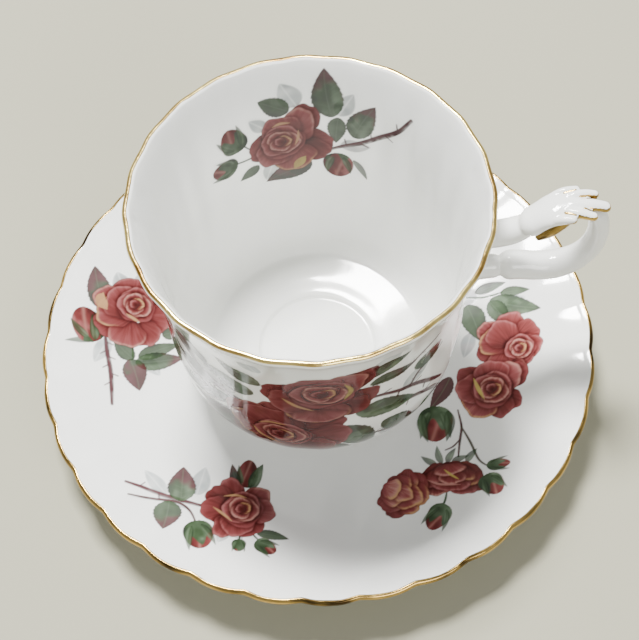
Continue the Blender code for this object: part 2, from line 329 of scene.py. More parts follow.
# ---------------------------------------------------------------- saucer
def saucer_profile():
    """Out along the upper face, round the lip, and back along the underside and the foot ring."""
    under = offset_line(SAUCER_TOP, -SAUCER_THICKNESS)
    well = np.array([(0.0, WELL_HEIGHT), (SAUCER_SHAPE[0][0] * SAUCER_RADIUS - MM, WELL_HEIGHT)])
    inner = SAUCER_TOP[SAUCER_TOP[:, 0] < SAUCER_RADIUS - 2.0 * MM]
    ring_outer, ring_inner, underside = 39.2 * MM, 36.2 * MM, 2.2 * MM
    beyond_ring = (under[:, 0] > ring_outer + 1.6 * MM) & (under[:, 0] < SAUCER_RADIUS - 4.5 * MM)
    outer_under = under[beyond_ring][::-1]
    corners = smooth_line([
        outer_under[-1], (ring_outer + 0.7 * MM, 4.2 * MM), (ring_outer, 2.4 * MM), (ring_outer, 0.6 * MM),
    ], 5)
    base = smooth_line([
        (ring_outer - 0.4 * MM, 0.06 * MM), ((ring_outer + ring_inner) / 2, 0.0),
        (ring_inner + 0.3 * MM, 0.08 * MM), (ring_inner, 0.7 * MM), (ring_inner - 1.0 * MM, 2.0 * MM),
        (ring_inner - 6.2 * MM, underside), (0.0, underside),
    ], 4)
    lip = arc(SAUCER_LIP_CENTRE, SAUCER_LIP, 95, -75, 12)
    return np.vstack([well, inner, lip, outer_under, corners[1:], base])


def make_saucer(china, gilt):
    dish = body_of_revolution("saucer", saucer_profile(), SAUCER_LOBES * 16, flute_saucer)
    dress(dish, china, "saucer", "china", "saucer_dish")
    line = gilt_band("saucer_gold_line", SAUCER_LIP_CENTRE, SAUCER_LIP, (84, 100), (-42, -25), 31,
                     flute_saucer, SAUCER_LOBES * 12)
    dress(line, gilt, "saucer", "gilding", "saucer_rim_gilding")


def wobble(angles, seed):
    """A smooth closed curve of random height between about -1 and 1."""
    rng = np.random.default_rng(seed)
    waves = 14
    total = np.zeros_like(angles)
    for k in range(1, waves + 1):
        total += rng.normal() * np.cos(k * 5 * angles + rng.uniform(0, 2 * math.pi))
    return total / math.sqrt(waves)


def gilt_band(name, centre, lip, first, last, seed, press, steps):
    """A hand-laid gold line wrapped over a rounded lip, its two edges wandering a little."""
    angles = angles_of(steps)
    start = np.interp(wobble(angles, seed), (-1.5, 1.5), first)
    end = np.interp(wobble(angles, seed + 1), (-1.5, 1.5), last)
    across = np.linspace(0, 1, 9)[:, None]
    lean = np.radians(start + (end - start) * across)

    def wrapped(reach):
        radius, height = centre[0] + reach * np.cos(lean), centre[1] + reach * np.sin(lean)
        return np.stack([radius * np.cos(angles), radius * np.sin(angles), height], axis=-1)

    face = wrapped(lip + LIFT * (0.3 + 1.4 * np.sin(math.pi * across) ** 0.5))
    return ring_object(name, press(np.concatenate([face, wrapped(lip - LIFT)[::-1], face[:1]])))


# ---------------------------------------------------------------- cup
def cup_profile():
    """From the middle of the floor up the inside, over the lip, and down the outside to the base."""
    floor_height = BASE_HEIGHT + 2.2 * MM
    ring = 14.6 * MM
    below_lip = RIM_HEIGHT - 1.2 * MM
    inside = BOWL_IN[(BOWL_IN[:, 1] > floor_height + 2.6 * MM) & (BOWL_IN[:, 1] < below_lip)]
    floor = smooth_line([
        (0.0, floor_height), (6.0 * MM, floor_height), (ring - 1.2 * MM, floor_height),
        (ring, floor_height + 0.25 * MM), (ring + 1.0 * MM, floor_height + 0.9 * MM),
        (ring + 5.5 * MM, floor_height + 1.45 * MM), inside[0],
    ], 8)
    lip = arc(CUP_LIP_CENTRE, CUP_LIP, 160, 5, 12)
    outside = BOWL_OUT[BOWL_OUT[:, 1] < below_lip][::-1]
    return np.vstack([floor[:-1], inside, lip, outside, [(0.0, BASE_HEIGHT)]])


def at_foot(out, up, base=FOOT_BOTTOM):
    """A point of the foot's profile: millimetres out from its widest circle and up from its base or top."""
    return FOOT_RADIUS + out * MM, base + up * MM


def foot_body(name, line):
    """A plain turned ring of the foot, from its closed profile."""
    return body_of_revolution(name, np.vstack([line, line[:1]]), 192, lambda points: points)


def make_cup(china, gilt):
    bowl = body_of_revolution("cup", cup_profile(), CUP_FLUTES * 16, flute_cup)
    line = gilt_band("cup_gold_line", CUP_LIP_CENTRE, CUP_LIP, (100, 111), (25, 38), 47,
                     flute_cup, CUP_FLUTES * 12)
    foot = foot_body("cup_foot_ring", np.vstack([
        smooth_line([
            at_foot(-1.2, 0.5, FOOT_TOP), at_foot(-1.9, -1.6, FOOT_TOP), at_foot(-0.8, -3.1, FOOT_TOP),
            at_foot(0, 1.1), at_foot(-0.1, 0.4),
        ], 6),
        [at_foot(-0.5, 0), at_foot(-1.9, 0)],
        smooth_line([at_foot(-2.4, 0.5), at_foot(-3.2, 2.4), at_foot(-4.2, 0.5, FOOT_TOP)], 5),
    ]))
    foot_line = foot_body("cup_foot_gold_line", np.array([
        at_foot(0.04, 1.5), at_foot(0.10, 1.1), at_foot(0.04, 0.4), at_foot(-0.3, 0.6), at_foot(-0.3, 1.3),
    ]))
    dress(bowl, china, "cup", "china", "cup_bowl")
    dress(line, gilt, "cup", "gilding", "cup_rim_gilding")
    dress(foot, china, "cup", "china", "cup_foot")
    dress(foot_line, gilt, "cup", "gilding", "cup_foot_gilding")


# ---------------------------------------------------------------- handle
# Each bar is a line of sections in millimetres: x, y, z, half width across y, half height.
ARM = [
    (37, 0, 60.3, 3.7, 3.8), (38.1, 0, 60.6, 3.4, 3.5), (39.7, 0, 60.9, 3.1, 3.2),
    (43, 0, 61.6, 3.2, 3.3), (46, 0, 62.6, 3.1, 3.2), (49, 0, 64.6, 2.8, 2.6),
    (52, 0, 67.2, 2.2, 1.8),
]
PALM = [
    (47.2, -0.4, 64.3, 3.3, 3.1), (49, -0.4, 65.6, 3.6, 3), (51.5, 0, 67.6, 3.8, 2.5),
    (54.2, 0.4, 69.5, 4.2, 1.9), (56.6, 0.7, 70.4, 3.1, 1.5), (58.8, 0.6, 70.9, 2.2, 1.2),
    (60.6, 0.4, 71, 1.6, 1),
]
FINGERS = [
    [(53.5, 3.3, 69, 1, 1.4), (56.8, 4.3, 70.7, 0.9, 1.1), (60.6, 4.5, 71.2, 0.8, 0.85)],
    [(56.5, 2.3, 70.5, 1.1, 1.4), (60.8, 3, 71.3, 1.05, 1.1), (64.7, 3, 70.7, 0.95, 0.9)],
    [(57, 0.4, 70.7, 1.4, 1.4), (62.4, 0.1, 71.1, 1.5, 1.15), (67.1, -0.15, 69.9, 1.35, 0.95)],
    [(56.5, -1, 70.5, 1.1, 1.4), (60.2, -2.3, 71.2, 1.15, 1.1), (63.7, -3.3, 70.9, 1, 0.9)],
    [(53.5, -2.4, 69, 1.2, 1.5), (56.2, -3.1, 70.4, 1.05, 1.2), (59, -3.8, 71.2, 0.9, 0.9)],
]
LOOP = [
    (42.9, 0, 47.6, 2.8, 3), (45.2, 0, 47.7, 3.5, 3.7), (48.5, 0, 47.6, 3.5, 3.5),
    (52, 0, 46.9, 3.5, 3.5), (55.5, 0, 46.8, 3.5, 3.5), (58.6, 0, 47.7, 3.4, 3.3),
    (61.4, 0, 49.6, 3.2, 3), (63.4, 0, 52.2, 3, 2.8), (64.8, 0, 55.4, 2.9, 2.7),
    (65.4, 0, 59, 2.8, 2.6), (65.4, 0, 62.4, 2.7, 2.5), (64.7, 0, 66.3, 2.5, 2.3),
    (62.8, 0, 69.8, 2.3, 1.6),
]
ROOT = [
    (35.5, 0, 46.8, 3.8, 4), (37, 0, 47.1, 3.4, 3.6), (39.5, 0, 47.5, 3, 3.2),
    (45, 0, 47.6, 2.8, 2.9),
]
SPUR = [
    (58.5, -1, 69.8, 1.7, 1.3), (56, -1.4, 66.6, 1.7, 1.7), (53.6, -1.6, 63.8, 1.5, 1.6),
    (51, -1.6, 60.9, 0.7, 0.7),
]
# The gilt lines in the notches between the fingers: x and y, from each notch out along the fingers' sides.
NOTCHES = [
    [(56.6, 3.4), (58.2, 3.6), (59.8, 3.75)], [(61.6, 1.5), (62.8, 1.7), (64.2, 2.0)],
    [(60.6, -1.0), (61.8, -1.45), (63.0, -1.95)], [(56.2, -1.7), (57.6, -2.3), (59.0, -2.9)],
]
NOTCH_LINE = (0.30, 0.20)  # their half width and half height
LEAF_TOP = 71.0  # their height where an end runs off the leaf
BAR_VOXEL = 0.25 * MM
NOTCH_VOXEL = 0.10 * MM
GILT_FROM = 56.6 * MM


def bar(sections, blunt_start=False, count=56, around=28):
    """A bar along its sections, with rounded ends, as rings of points."""
    line = even_line(smooth_line(sections, 10), count)
    along = np.gradient(line[:, :3], axis=0)
    along /= np.linalg.norm(along, axis=1, keepdims=True)
    across = np.array([0.0, 1.0, 0.0]) - along[:, 1:2] * along
    across /= np.linalg.norm(across, axis=1, keepdims=True)
    over = np.cross(along, across)
    run = travelled(line[:, :3])
    to_end = run[-1] - run if blunt_start else np.minimum(run, run[-1] - run)
    near = np.clip(to_end / line[:, 3], 0, 1)
    round_off = np.sqrt(1 - (1 - near) ** 2)[:, None]
    angles = angles_of(around)
    wide, tall = line[:, 3:4] * round_off * np.cos(angles), line[:, 4:5] * round_off * np.sin(angles)
    return MM * (line[:, None, :3] + wide[..., None] * across[:, None] + tall[..., None] * over[:, None])


def fused(name, bars, voxel, passes):
    """The bars melted into one smooth closed form."""
    form = bmesh.new()
    for points in bars:
        rows = [[form.verts.new(point) for point in ring] for ring in points]
        for low, high in zip(rows, rows[1:]):
            for k in range(len(low)):
                form.faces.new((low[k - 1], low[k], high[k], high[k - 1]))
        form.faces.new(rows[0])
        form.faces.new(rows[-1][::-1])
    clean(form, 0.001 * MM, 0.001 * MM)
    obj = placed(name, bpy.data.meshes.new(name))
    form.to_mesh(obj.data)
    form.free()
    remesh = obj.modifiers.new("melt", "REMESH")
    remesh.mode = "VOXEL"
    remesh.voxel_size = voxel
    smooth = obj.modifiers.new("smooth", "SMOOTH")
    smooth.iterations = passes
    smooth.factor = 0.5
    return applied(obj)


def applied(obj):
    """The object with its modifiers made part of its mesh."""
    mesh = bpy.data.meshes.new_from_object(obj.evaluated_get(bpy.context.evaluated_depsgraph_get()))
    obj.modifiers.clear()
    obj.data = mesh
    mesh.shade_smooth()
    return obj


def edge_gilding(leaf):
    """A skin round the sides and tips of the leaf's fingers, a hair above the china."""
    form = bmesh.new()
    form.from_mesh(leaf.data)
    form.normal_update()
    for vert in form.verts:
        highest = 0.74 * float(ease((vert.co.x - GILT_FROM) / (3 * MM)))
        vert.tag = -0.9 < vert.normal.z < highest and vert.co.x > GILT_FROM
    bare = [face for face in form.faces if not all(vert.tag for vert in face.verts)]
    bmesh.ops.delete(form, geom=bare, context="FACES")
    for vert in form.verts:
        vert.co += vert.normal * LIFT * 0.6
    skin = placed("handle_leaf_gold", bpy.data.meshes.new("handle_leaf_gold"))
    form.to_mesh(skin.data)
    form.free()
    skin.data.shade_smooth()
    return skin


def notch_gilding(leaf):
    """Fine bars laid along the notches, each point sunk a little into the leaf's upper face."""
    bars = []
    for notch in NOTCHES:
        sections = []
        for x, y in notch:
            hit, place, _, _ = leaf.ray_cast(Vector((x * MM, y * MM, RIM_HEIGHT)), Vector((0, 0, -1)))
            height = place.z / MM if hit else LEAF_TOP
            sections.append((x, y, height - 0.05, *NOTCH_LINE))
        bars.append(bar(sections, count=20, around=12))
    return fused("handle_notch_gold", bars, NOTCH_VOXEL, 2)


def make_handle(china, gilt):
    leaf = fused("handle_leaf", [bar(ARM, blunt_start=True), bar(PALM)] + [bar(line) for line in FINGERS],
                 BAR_VOXEL, 5)
    scroll = fused("handle_scroll", [bar(ROOT, blunt_start=True), bar(LOOP)], BAR_VOXEL, 7)
    spur = fused("handle_spur", [bar(SPUR)], BAR_VOXEL, 3)
    notches = notch_gilding(leaf)
    edges = edge_gilding(leaf)
    dress(leaf, china, "cup", "china", "handle_thumb_leaf")
    dress(scroll, china, "cup", "china", "handle_loop")
    dress(edges, gilt, "cup", "gilding", "handle_leaf_gilding")
    dress(spur, gilt, "cup", "gilding")
    dress(notches, gilt, "cup", "gilding")


# ---------------------------------------------------------------- painting
# Paints as red, green and blue from 0 to 255, deep enough to keep their colour in bright light.
PAINTS = {
    "shade": (72, 20, 15), "crimson": (96, 30, 28), "red": (122, 48, 46), "rose": (146, 70, 70),
    "pink": (172, 102, 100), "blush": (196, 136, 124), "cream": (206, 158, 108), "straw": (198, 176, 92),
    "pine": (36, 48, 32), "green": (56, 78, 46), "sage": (80, 100, 72), "mint": (112, 134, 104),
    "maroon": (78, 26, 28), "wine": (100, 50, 56), "twig": (98, 64, 68), "mist": (128, 142, 146),
    "haze": (168, 180, 182), "mauve": (120, 98, 112), "umber": (54, 40, 32),
}

# A petal's paints, from its shaded side to its lit one.
ROSE_TONES = ("shade", "crimson", "red", "rose", "pink")
# The three paints of a stem, from its shaded side to its lit one.
WOOD = ("maroon", "twig", "wine")
BRIAR = ("pine", "twig", "wine")
SHOOT = ("pine", "green", "sage")
PITCH = 0.2

# How the fired paints differ from the colours listed: they return less light, with a faint grey haze.
PAINT_DEPTH = 0.56
PAINT_HAZE = 0.010


def paint(name):
    """A paint as linear light."""
    shown = np.array(PAINTS[name], float) / 255
    light = np.where(shown <= 0.04045, shown / 12.92, ((shown + 0.055) / 1.055) ** 2.4)
    return PAINT_HAZE + PAINT_DEPTH * light


def ramp(t, *names):
    """Colours blended along a row of paints as t runs from 0 to 1."""
    t = np.clip(t, 0, 1)
    stops = np.linspace(0, 1, len(names))
    table = np.array([paint(name) for name in names])
    return np.stack([np.interp(t, stops, table[:, i]) for i in range(3)], axis=-1)


def grain(x, y, seed):
    """Smooth noise from 0 to 1, with one bump to each unit of x and y."""
    table = np.random.default_rng(seed).random((64, 64))
    column, row = np.floor(x).astype(int), np.floor(y).astype(int)
    across, up = ease(x - column), ease(y - row)
    a, b = table[row % 64, column % 64], table[row % 64, (column + 1) % 64]
    c, d = table[(row + 1) % 64, column % 64], table[(row + 1) % 64, (column + 1) % 64]
    return (a + (b - a) * across) * (1 - up) + (c + (d - c) * across) * up


def hump(x, middle, width):
    """A smooth bump of height 1."""
    return np.exp(-((x - middle) / width) ** 2)


def blend(colour, other, share):
    return colour + (other - colour) * np.clip(share, 0, 1)[..., None]


def away(x, y, bearing, distance):
    """The point at a distance from x, y. A bearing of 0 points up the sheet, 90 to the right."""
    angle = math.radians(bearing)
    return x + distance * math.sin(angle), y + distance * math.cos(angle)


class Sheet:
    """A transfer being painted: colour and cover at each point of a grid measured in millimetres."""

    def __init__(self, left, right, bottom, top, pitch):
        self.pitch = pitch
        self.x, self.y = np.meshgrid(np.arange(left, right + pitch / 2, pitch),
                                     np.arange(bottom, top + pitch / 2, pitch))
        self.colour = np.zeros(self.x.shape + (3,))
        self.cover = np.zeros(self.x.shape)

    def near(self, x, y, reach):
        """The part of the sheet within reach of a point. Paint laid on it shows on the whole."""
        spans = []
        for middle, edge, size in zip((y, x), (self.y[0, 0], self.x[0, 0]), self.cover.shape):
            ends = (middle - edge + np.array((-reach, reach))) / self.pitch
            spans.append(slice(*np.clip(ends.astype(int) + (0, 2), 0, size)))
        part = object.__new__(Sheet)
        part.pitch = self.pitch
        for layer in ("x", "y", "colour", "cover"):
            setattr(part, layer, getattr(self, layer)[tuple(spans)])
        return part

    def local(self, x, y, bearing):
        """Distances across and along a bearing, from a point."""
        turn = math.radians(bearing)
        dx, dy = self.x - x, self.y - y
        return dx * math.cos(turn) - dy * math.sin(turn), dx * math.sin(turn) + dy * math.cos(turn)

    def lay(self, cover, colour):
        cover = np.clip(cover, 0, 1)
        self.colour[:] = self.colour * (1 - cover[..., None]) + colour * cover[..., None]
        self.cover[:] = self.cover * (1 - cover) + cover

    def shadow(self, amount):
        """Darkens paint that is already there, towards a warm brown."""
        self.colour *= 1 - np.clip(amount, 0, 1)[..., None] * np.array((0.62, 0.80, 0.82))


# Brushes: each paints one thing on a sheet. Places and sizes are millimetres, and rim, light and name are
# paints. The seed sets the brush's own random marks.
def petal(sheet, x, y, bearing, half_long, half_wide, seed, bias=0.0, rim="blush", rim_strength=0.55,
          tones=ROSE_TONES, wave=1.0, drop=0.6):
    """A petal whose far rim, at the bearing, turns to the light. Its near side sinks into shade."""
    part = sheet.near(x, y, 1.25 * max(half_long, half_wide) + 1.5)
    across, along = part.local(x, y, bearing)
    u, v = across / half_wide, along / half_long
    around = np.arctan2(u, v)
    waves = (0.060 * np.sin(3 * around + seed * 1.7) + 0.035 * np.sin(5 * around + seed * 2.9)
             + 0.018 * np.sin(9 * around + seed * 0.7))
    outline = 1 + wave * waves - 0.05 * np.cos(2 * around)
    reach = np.hypot(u, v) / outline
    depth = (1 - reach) * min(half_long, half_wide)
    part.shadow(drop * hump(np.clip(-depth, 0, None), 0, 0.55) * ease(1 - depth * 2))
    fan = np.arctan2(across, along + half_long * 1.25)
    streak = grain(fan * 13 + seed, np.hypot(across, along + half_long) * 0.35 + seed, seed) - 0.5
    streak += 0.5 * (grain(fan * 30 + seed, np.hypot(across, along) * 0.5, seed + 3) - 0.5)
    patch = grain(part.x * 0.45 + seed, part.y * 0.45, seed + 5) - 0.5
    light = 0.50 + 0.40 * v * np.clip(reach, 0, 1) + bias + 0.22 * streak + 0.20 * patch
    turned = ease(0.35 + 0.9 * v) * hump(depth, 0.30, 0.30) * (0.75 + 0.8 * streak)
    colour = blend(ramp(light, *tones), paint(rim), rim_strength * turned * 1.5)
    colour *= 1 - 0.30 * hump(depth, 0.02, 0.10)[..., None]
    part.lay(ease(depth / 0.26 + 0.5), colour)


def stroke(sheet, points, width, name, strength=0.9, taper=1.0, seed=0):
    """A brush stroke through a few points, widest in its middle where taper is 1."""
    route = smooth_line(points, 14)
    share = travelled(route) / travelled(route)[-1]
    middle = route.mean(axis=0)
    part = sheet.near(*middle, np.abs(route - middle).max() + width + 1)
    nearest = np.full(part.x.shape, 1e9)
    at = np.zeros(part.x.shape)
    for (ax, ay), (bx, by), sa, sb in zip(route, route[1:], share, share[1:]):
        span = (bx - ax) ** 2 + (by - ay) ** 2
        t = np.clip(((part.x - ax) * (bx - ax) + (part.y - ay) * (by - ay)) / span, 0, 1)
        gap = np.hypot(part.x - ax - t * (bx - ax), part.y - ay - t * (by - ay))
        at = np.where(gap < nearest, sa + t * (sb - sa), at)
        nearest = np.minimum(gap, nearest)
    half = width / 2 * (1 - taper + taper * np.sin(math.pi * np.clip(at, 0.02, 0.98)) ** 0.7)
    rough = 0.8 + 0.4 * grain(part.x * 0.8, part.y * 0.8, seed)
    part.lay(strength * rough * ease((half - nearest) / 0.3 + 0.5), paint(name))


# The petals that wind round a rose's heart: bearing, offset, size, light and rim paint.
SWIRL = [
    (150, 0.10, 1.02, -0.14, "rose"), (20, 0.12, 0.92, -0.18, "pink"), (255, 0.18, 0.80, 0.02, "pink"),
    (110, 0.16, 0.72, -0.06, "blush"), (330, 0.14, 0.58, -0.02, "blush"), (200, 0.12, 0.50, 0.06, "blush"),
    (70, 0.10, 0.38, -0.06, "cream"), (290, 0.06, 0.27, -0.14, "pink"),
]


def rose(sheet, x, y, radius, turn, seed, petals, heart, heart_size):
    """An open rose: its outer petals, and inside them a bowl of petals that winds to a dark centre. Sizes
    are shares of the radius, and of the heart's size inside it."""
    rng = np.random.default_rng(seed)
    for bearing, distance, half_long, half_wide, light, rim in petals:
        place = away(x, y, bearing + turn, radius * distance)
        petal(sheet, *place, bearing + turn, half_long * radius, half_wide * radius, int(rng.integers(99)),
              light, rim, rim_strength=0.7)
    middle = x + heart[0] * radius, y + heart[1] * radius
    size = heart_size * radius
    for bearing, offset, share, light, rim in SWIRL:
        place = away(*middle, bearing + turn, size * offset)
        petal(sheet, *place, bearing + turn, share * size, share * size * 0.94, int(rng.integers(99)),
              light, rim, rim_strength=0.95, wave=0.8, drop=0.5)
    part = sheet.near(*middle, size)
    part.shadow(0.75 * hump(np.hypot(part.x - middle[0], part.y - middle[1]), 0, 0.13 * size))


def leaf(sheet, x, y, bearing, length, width, seed, light="sage", tip_share=0.0, bend=0.12, edge="pine",
         base="green", teeth=9, cover=0.96, veins=True):
    """A serrated leaf from its stalk at x, y to its tip, its near half lit and its far half in shade. Its
    end turns maroon over the tip share of its length."""
    part = sheet.near(x, y, length * 1.2 + 1)
    across, along = part.local(x, y, bearing)
    inside = np.clip(along / length, 0, 1)
    across = across - bend * length * (inside ** 2 - 0.35 * inside)
    swell = np.sin(math.pi * inside ** 0.72) ** 0.85
    saw = np.mod(inside * teeth, 1.0) if teeth else 0
    half = width / 2 * swell * (1 - 0.07 * saw) + 0.02
    depth = np.minimum(half - np.abs(across), np.minimum(along, length - along) * 0.9)
    side = np.clip(across / (width / 2), -1, 1)
    patch = grain(part.x * 0.55, part.y * 0.55, seed) - 0.5
    vein = hump(np.mod(inside * 6.5 - np.abs(side) * 1.1, 1.0), 0.5, 0.10) * (np.abs(side) < 0.9) * veins
    lit = 0.46 + 0.30 * side + 0.60 * patch + 0.07 * vein + 0.22 * hump(np.abs(side), 0.45, 0.28)
    colour = ramp(lit, edge, base, light)
    if tip_share:
        reddening = ease((inside + 0.35 * patch + 0.25 * side ** 2 - (1 - tip_share)) / 0.30)
        colour = blend(colour, ramp(lit + 0.05, "umber", "maroon", "wine"), reddening)
    colour = blend(colour, paint("mint"), 0.26 * hump(across, 0, 0.16) * (inside < 0.92) * veins)
    colour *= 1 - 0.30 * hump(depth, 0.05, 0.22)[..., None]
    part.lay(cover * ease(depth / 0.3 + 0.5), colour)


blade = partial(leaf, teeth=0)


def sepal(sheet, x, y, bearing, length, width, seed, bend=0.25):
    """A narrow pointed sepal."""
    blade(sheet, x, y, bearing, length, width, seed, "mint", bend=bend, veins=False, cover=0.85)


def ghost_leaf(sheet, x, y, bearing, length, width, seed, name="mist"):
    """A pale blue-grey leaf in the background, soft and thin."""
    part = sheet.near(x, y, length * 1.2 + 1)
    across, along = part.local(x, y, bearing)
    half = width / 2 * np.sin(math.pi * np.clip(along / length, 0, 1) ** 0.75) ** 0.8
    depth = np.minimum(half - np.abs(across), np.minimum(along, length - along))
    patch = grain(part.x * 0.5, part.y * 0.5, seed)
    strength = (0.45 + 0.35 * patch) * (1 - 0.35 * hump(across, 0, 0.2))
    part.lay(strength * ease(depth / 0.6 + 0.3), ramp(0.3 + 0.7 * patch, "mist", "haze") if name == "mist"
             else ramp(patch, name, "haze"))


def stem(sheet, points, width, names, thorns=0, seed=0):
    """A woody stem with its lit side above, and thorns along it."""
    for k, (left, up, share, strength, taper) in enumerate([
        (0.0, 0.0, 1.0, 0.85, 0.45), (0.08, 0.14, 0.66, 0.85, 0.45), (0.12, 0.20, 0.28, 0.7, 0.6),
    ]):
        route = [(x - left * width, y + up * width) for x, y in points]
        stroke(sheet, route, share * width, names[k], strength, taper, seed + k)
    rng = np.random.default_rng(seed)
    route = smooth_line(points, 10)
    along = math.degrees(math.atan2(points[-1][0] - points[0][0], points[-1][1] - points[0][1]))
    for k in range(thorns):
        place = tuple(route[int(len(route) * (0.18 + 0.7 * k / thorns))])
        tip = away(*place, along + (62 if k % 2 else -62), width * 1.5)
        stroke(sheet, [place, tip], width * 0.34, names[1], 0.8, 0.2, int(rng.integers(99)))


def bud(sheet, x, y, bearing, length, width, seed, closed=0.5, light="rose", stalk=None):
    """A bud on its green cup. It points along the bearing; closed says how much of it the green covers."""
    if stalk:
        stem(sheet, [stalk, ((stalk[0] + x) / 2, (stalk[1] + y) / 2 + 0.2), (x, y)], 0.55, SHOOT, seed=seed)
    part = sheet.near(x, y, length)
    across, along = part.local(x, y, bearing)
    side, v = across / (width / 2), along / (length / 2)
    half = width / 2 * np.sqrt(np.clip(1 - np.abs(v) ** 2.2, 0, 1)) * (1 - 0.18 * v)
    depth = np.minimum(half - np.abs(across), (1 - np.abs(v)) * length / 2)
    patch = grain(part.x * 0.8, part.y * 0.8, seed) - 0.5
    streak = grain(across * 2.2 / width * 4 + seed, along * 0.35, seed + 1) - 0.5
    petals = ramp(0.45 - 0.30 * side + 0.35 * streak + 0.25 * patch, "shade", "crimson", "red", light, "pink")
    part.lay(ease(depth / 0.28 + 0.5), blend(petals, paint("blush"), 0.5 * hump(side, 0.35 * v - 0.15, 0.12)))
    edge = -1 + 2 * closed + 0.34 * np.cos(side * 5.2 + seed) - 0.15 * side ** 2
    green = ramp(0.50 - 0.40 * side + 0.6 * patch, "pine", "green", "sage", "mint")
    part.lay(ease((edge - v) / 0.14 + 0.5) * ease(depth / 0.28 + 0.5), green)
    foot = away(x, y, bearing + 180, length * 0.34)
    for k, lean, way in ((0, -26, -1), (1, 24, 1)):
        place = away(*foot, bearing + 90, 0.16 * width * way)
        sepal(sheet, *place, bearing + lean, length * (0.62 + 0.3 * closed), width * 0.26, seed + k,
              -0.22 * way)


# ---------------------------------------------------------------- the sprays
# Outer petals of each rose: bearing, distance, half length, half width, light and rim paint.
OPEN_ROSE = [
    (28, 0.62, 0.5, 0.34, -0.18, "rose"), (100, 0.62, 0.36, 0.36, -0.12, "rose"),
    (125, 0.62, 0.4, 0.36, -0.14, "rose"), (175, 0.56, 0.46, 0.5, 0.1, "cream"),
    (262, 0.6, 0.4, 0.38, -0.1, "rose"), (230, 0.48, 0.46, 0.44, 0.00, "pink"),
    (20, 0.4, 0.56, 0.4, 0.16, "blush"), (330, 0.36, 0.46, 0.44, 0.00, "pink"),
]
FULL_ROSE = [
    (0, 0.66, 0.36, 0.42, -0.02, "pink"), (300, 0.66, 0.4, 0.4, 0.02, "blush"),
    (55, 0.62, 0.38, 0.4, -0.1, "rose"), (105, 0.62, 0.4, 0.42, 0.00, "pink"),
    (150, 0.66, 0.38, 0.42, 0.04, "pink"), (235, 0.62, 0.42, 0.4, -0.1, "rose"),
    (190, 0.6, 0.42, 0.46, 0.06, "blush"), (270, 0.42, 0.5, 0.44, 0.08, "cream"),
    (320, 0.34, 0.48, 0.48, -0.02, "pink"),
]
STAR_ROSE = [
    (345, 0.64, 0.42, 0.34, 0.08, "pink"), (310, 0.6, 0.44, 0.34, -0.22, "red"),
    (270, 0.58, 0.44, 0.42, -0.12, "rose"), (212, 0.64, 0.42, 0.32, -0.04, "pink"),
    (150, 0.6, 0.4, 0.42, -0.1, "rose"), (60, 0.6, 0.44, 0.4, 0.14, "blush"),
    (98, 0.66, 0.4, 0.38, 0.2, "pink"), (180, 0.44, 0.46, 0.46, 0.00, "pink"),
]
# Petals of a rose seen from its side: across, along, half long, half wide, lean and light.
FANS = [
    (-0.58, -0.18, 0.5, 0.4, -70, -0.05), (0.62, -0.2, 0.48, 0.4, 68, 0.02),
    (-0.3, -0.38, 0.46, 0.44, -25, -0.1), (0.28, -0.42, 0.46, 0.46, 20, -0.08),
    (-0.52, 0.18, 0.44, 0.46, -60, 0.02), (0.56, 0.2, 0.44, 0.44, 60, 0.06),
    (0, -0.12, 0.56, 0.6, 0, -0.12), (-0.24, 0.3, 0.4, 0.5, -30, 0.05),
    (0.26, 0.34, 0.4, 0.48, 30, 0), (0.02, 0.1, 0.42, 0.4, 5, -0.02),
    (-0.05, 0.46, 0.3, 0.46, -8, 0.1),
]


def side_rose(sheet, x, y, half_wide, half_high, turn, seed, warm=False):
    """A rose seen from its side: fans of petals, one behind another, opening along the bearing."""
    rng = np.random.default_rng(seed)
    rims = ("cream" if warm else "pink", "blush", "cream")
    tones = ("crimson", "red", "rose", "blush", "cream") if warm else ROSE_TONES
    for across, along, half_long, wide, lean, light in FANS:
        place = away(*away(x, y, turn + 90, across * half_wide), turn, along * half_high)
        petal(sheet, *place, turn + lean + 180, half_long * half_high * 1.15, wide * half_wide * 0.95,
              int(rng.integers(99)), light, rims[int(rng.integers(3))], 0.8, tones)


def painted(sheet, *layers):
    """The sheet with its layers painted in turn. Each layer is a brush and the rows of values for it."""
    for brush, *rows in layers:
        for row in rows:
            brush(sheet, *row)
    return sheet


